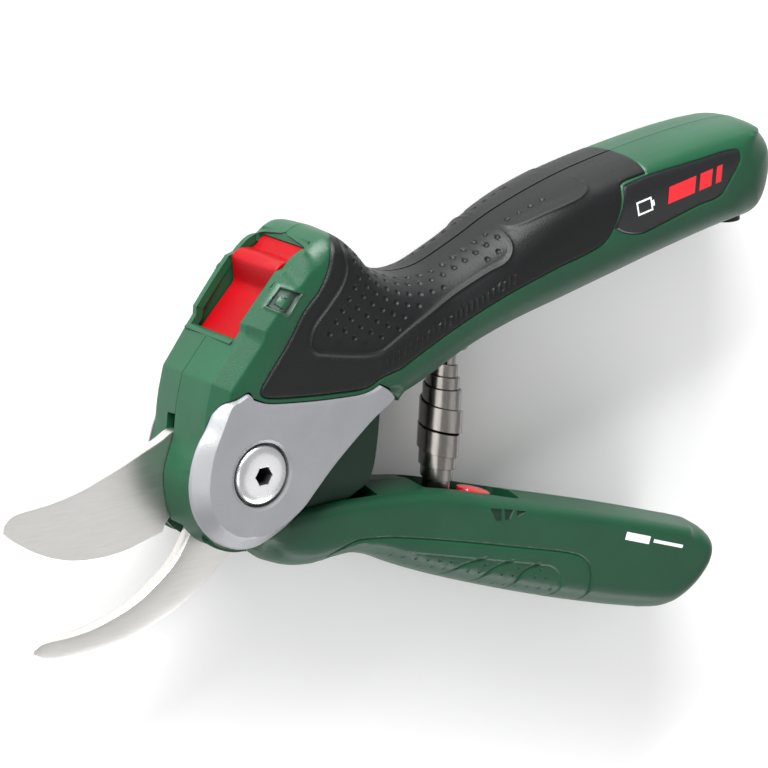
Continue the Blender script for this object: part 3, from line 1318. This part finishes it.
def build_handle():
    line = trimmed(HANDLE_LINE, handle_base, handle_opening(HANDLE_LINE))
    lines = []
    for d in (0.1, 0.25, 0.5, 0.9, 1.35, 1.6, 2.2, 3.0, 3.9, 5.2, 7.0):
        lines += offset(HANDLE_LINE, d, True)
    for groove in (INLAY_OUTER, INLAY_INNER, *INLAY_GROOVES):
        for d in (-0.9, -0.5, -0.22, 0.22, 0.5, 0.9):
            lines += offset(groove, d, False)
        lines.append(groove)
    shapes = [outline_points(s, 0.6) for s in CHEVRONS]
    loops = [line, *shapes, *[inset(s, 0.28) for s in shapes], *LEVER_BARS]
    interior = grid(HANDLE_LINE, 1.6)
    edge, _ = nearest(interior, HANDLE_LINE, True)
    flat, triangles = triangulate(lines, loops, np.vstack([interior[edge > 7.4], pit_points()]))
    triangles = triangles[inside(flat[triangles].mean(1), line)]
    heights = handle_height(flat)
    centres = flat[triangles].mean(1)
    finish = np.zeros(len(triangles), np.int32)
    for shape in CHEVRONS:
        finish[inside(centres, shape)] = 1
    for shape in LEVER_BARS:
        finish[inside(centres, shape)] = 2
    for side, name in SIDES:
        shell = skin(f"lower_grip_{name}", flat, heights, triangles, side,
                     [GREEN, ENGRAVED, MARK_WHITE], SHELL_WALL, finish)
        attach(shell, "lever")
        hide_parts(f"handle_{name}")


build_handle()

# ---------- indicator lens ----------


def build_lens():
    """Oval dome on the top face of the lower handle, level with its rim."""
    lean = math.radians(-17.0)
    c, s = math.cos(lean), math.sin(lean)
    x, y = 80.6, -22.9
    half_length, half_width = 5.0, 4.3
    count, vertices, faces = 40, [], []
    rings = [(0.9, -2.6), (1.0, -0.2), (0.97, 0.15), (0.8, 0.45), (0.45, 0.7), (0.15, 0.78)]
    for share, lift in rings:
        for k in range(count):
            a = 2 * math.pi * k / count
            along = half_length * share * math.cos(a)
            across = half_width * share * math.sin(a)
            vertices.append((x + along * c - lift * s, y + along * s + lift * c, across))
    for r in range(len(rings) - 1):
        for k in range(count):
            a, b = r * count + k, r * count + (k + 1) % count
            faces.append((b, a, a + count, b + count))
    faces.append(list(range(count)))
    last = (len(rings) - 1) * count
    faces.append([last + k for k in range(count)][::-1])
    lens = make_object("indicator_lens", vertices, faces, [LENS], sharp=40)
    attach(lens, "lever")
    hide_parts("status_lens")


build_lens()

# ---------- spring ----------


def build_spring():
    """Strip wound as two cones that meet at their wide ends, in the gap of the handles."""
    turns, per_turn = 4.3, 40
    half, thick, round_off = 3.1, 0.25, 0.12
    wide, taper = 5.8, 0.64
    core_turns, core_pitch, pitch = 0.8, 6.8, 3.3
    middle_x, middle_y = 69.0, -2.5
    tilt = math.radians(-2.9)
    c, s = math.cos(tilt), math.sin(tilt)
    near, far = half - round_off, half
    strip = [(-thick, -near), (-round_off, -far), (round_off, -far), (thick, -near),
             (thick, near), (round_off, far), (-round_off, far), (-thick, near)]
    steps = round(2 * turns * per_turn)
    rows = []
    for i in range(steps + 1):
        t = -turns + 2 * turns * i / steps
        a = 2 * math.pi * t
        away = abs(t)
        r = wide - taper * away
        core = min(away, core_turns)
        rise = math.copysign(core * core_pitch + (away - core) * pitch, t)
        row = []
        for dr, dy in strip:
            x, y, z = (r + dr) * math.cos(a), rise + dy, (r + dr) * math.sin(a)
            row.append((middle_x + x * c - y * s, middle_y + x * s + y * c, z))
        rows.append(row)
    vertices, faces = swept(rows)
    spring = make_object("volute_spring", vertices, faces, [SPRING], sharp=30)
    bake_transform(spring)
    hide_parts("return_spring")


build_spring()

# ---------- shroud ----------


def build_shroud():
    """Dark walls beside the tang of the cutting blade, under the cover plates."""
    outline = joined(
        dense([(22.4, 3.0), (21.7, -3.4), (21.2, -7.6), (20.6, -10.8), (19.0, -13.2)], 0.7),
        dense([(19.0, -13.2), (20.0, -15.4), (22.6, -17.0), (29.8, -16.0), (35.6, -13.4),
            (39.6, -11.2), (41.4, -7.6), (42.6, -1.0), (43.2, 5.0), (43.6, 12.0)], 0.7),
        [(34.0, 12.0)],
    )
    for side, name in SIDES:
        vertices, faces = ring_mesh(plate_rings(anticlockwise(outline), 4.7, 8.2, 0.5))
        vertices = np.array(vertices) * [1, 1, side]
        if side < 0:
            faces = [tuple(f)[::-1] for f in faces]
        wall = make_object(f"tang_shroud_{name}", vertices, faces, [ENGRAVED], sharp=30)
        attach(wall, "housing")


build_shroud()

# ---------- floor, light and camera ----------


def build_stage():
    """Pale floor just below the tool."""
    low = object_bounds()[0]
    n, reach, gap = 24, 1.6, 0.0002
    xs = np.linspace(-reach, reach, n + 1)
    vertices = [(x, y, low[2] - gap) for y in xs for x in xs]
    faces = []
    for j in range(n):
        for i in range(n):
            a = j * (n + 1) + i
            faces.append((a, a + 1, a + n + 2, a + n + 1))
    mesh = bpy.data.meshes.new("floor")
    mesh.from_pydata(vertices, [], faces)
    nodes = Nodes("floor_paper")
    drift = nodes.noise(nodes.place, 4.0, 2.0, 0.5)
    paper = nodes.ramp(drift, [(0.3, rgb(244, 244, 244)), (0.7, rgb(250, 250, 250))])
    nodes.link(paper, nodes.shader.inputs["Base Color"])
    nodes.shader.inputs["Roughness"].default_value = 0.9
    nodes.shader.inputs["Specular IOR Level"].default_value = 0.1
    mesh.materials.append(nodes.material)
    floor = bpy.data.objects.new("floor", mesh)
    bpy.context.scene.collection.objects.link(floor)


def add_light(name, place, power, size, height):
    """Soft rectangular light that faces the middle of the tool."""
    data = bpy.data.lights.new(name, "AREA")
    data.energy = power
    data.shape = "RECTANGLE"
    data.size = size
    data.size_y = height
    light = bpy.data.objects.new(name, data)
    light.location = place
    direction = -Vector(place)
    light.rotation_euler = direction.to_track_quat("-Z", "Y").to_euler()
    bpy.context.scene.collection.objects.link(light)


def build_lights():
    add_light("key", (-0.4, 0.95, 0.32), 38.0, 1.1, 0.5)
    add_light("fill", (-0.95, -0.25, 0.7), 3.0, 0.7, 0.7)
    add_light("front", (0.55, -0.35, 0.9), 0.8, 0.7, 0.7)
    add_light("low", (0.3, -0.95, 0.4), 5.5, 0.9, 0.5)
    world = bpy.data.worlds.new("studio")
    bpy.context.scene.world = world
    world.use_nodes = True
    background = world.node_tree.nodes["Background"]
    background.inputs["Color"].default_value = (1, 1, 1, 1)
    background.inputs["Strength"].default_value = 0.5


def build_camera():
    """The photograph's viewpoint: a metre away, over the blade side, slightly above."""
    place = Vector((-551.1, 300.7, 795.4)) * MM + ORIGIN
    target = Vector((37.70, 17.57, 17.0)) * MM + ORIGIN
    roll = math.radians(0.52)
    back = (place - target).normalized()
    right = Vector((0, 1, 0)).cross(back).normalized()
    up = back.cross(right)
    turned_right = right * math.cos(roll) + up * math.sin(roll)
    turned_up = up * math.cos(roll) - right * math.sin(roll)
    data = bpy.data.cameras.new("camera")
    data.sensor_width = 36.0
    data.lens = 187.5
    camera = bpy.data.objects.new("camera", data)
    turn = Matrix((turned_right, turned_up, back)).transposed().to_4x4()
    camera.matrix_world = Matrix.Translation(place) @ turn
    bpy.context.scene.collection.objects.link(camera)
    bpy.context.scene.camera = camera
    bpy.context.scene.view_settings.view_transform = "Standard"


build_stage()
build_lights()
build_camera()
